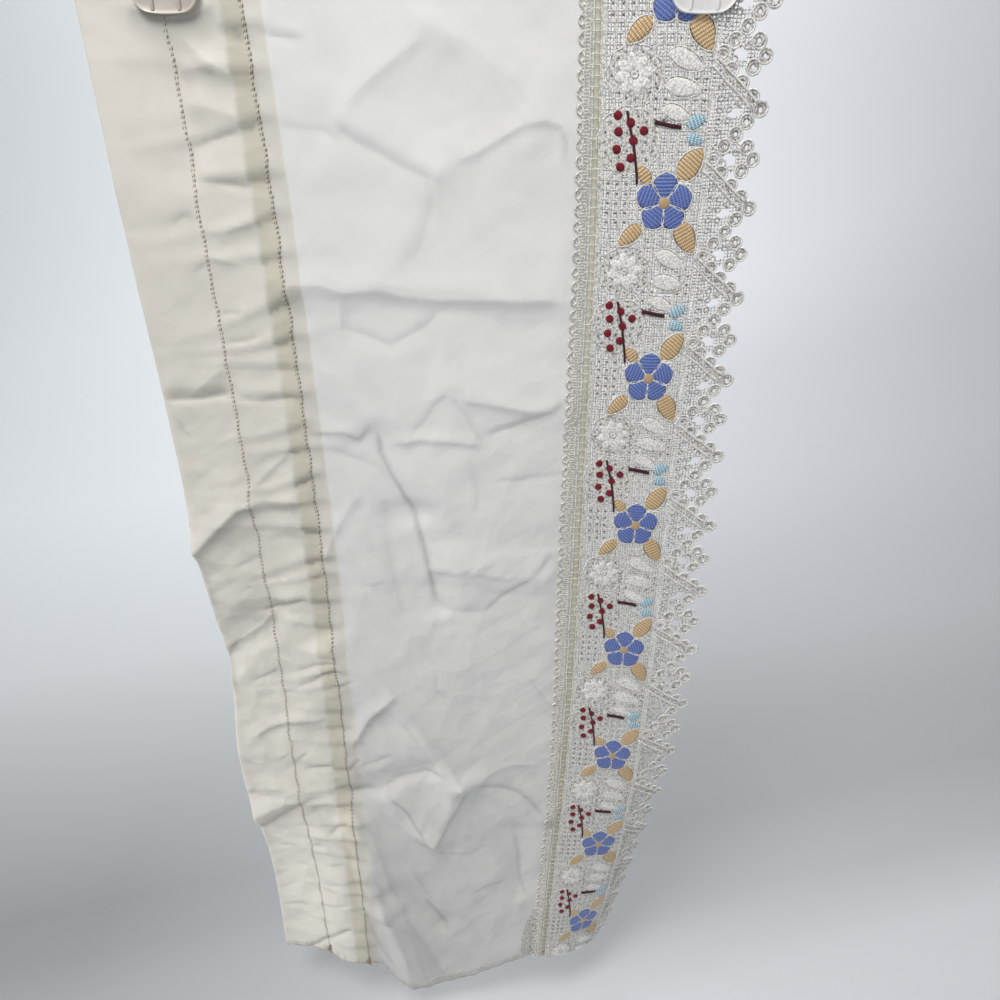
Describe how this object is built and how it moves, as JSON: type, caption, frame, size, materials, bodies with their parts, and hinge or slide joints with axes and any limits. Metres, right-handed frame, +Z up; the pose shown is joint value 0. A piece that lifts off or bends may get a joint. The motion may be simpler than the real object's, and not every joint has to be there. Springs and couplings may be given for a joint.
{
  "type": "lace valance with hanging clips",
  "caption": "Sheer valance hung lengthwise by clips at its short end, with a folded header and rod pocket down one side and a pointed lace border down the other.",
  "frame": {"origin": "middle of the short end by which the valance hangs, at the mount hanging_edge", "axes": "+Z up along the valance's length, which hangs down from the origin; +X across it towards the lace border; -Y is the face that is seen"},
  "size_m": [0.4632, 0.0656, 1.0295],
  "materials": {
    "voile": "thin off-white voile, lightly crumpled",
    "lace": "white cotton lace with coloured satin stitch",
    "clip_plastic": "glossy white",
    "clip_steel": "plain steel pin"
  },
  "bodies": {
    "root": {"voile_panel": "voile", "lace_border": "lace", "heading_clip_front_jaw": "clip_plastic", "heading_clip_rear_jaw": "clip_plastic", "heading_clip_pin": "clip_steel", "lace_clip_front_jaw": "clip_plastic", "lace_clip_rear_jaw": "clip_plastic", "lace_clip_pin": "clip_steel"}
  },
  "joints": []
}
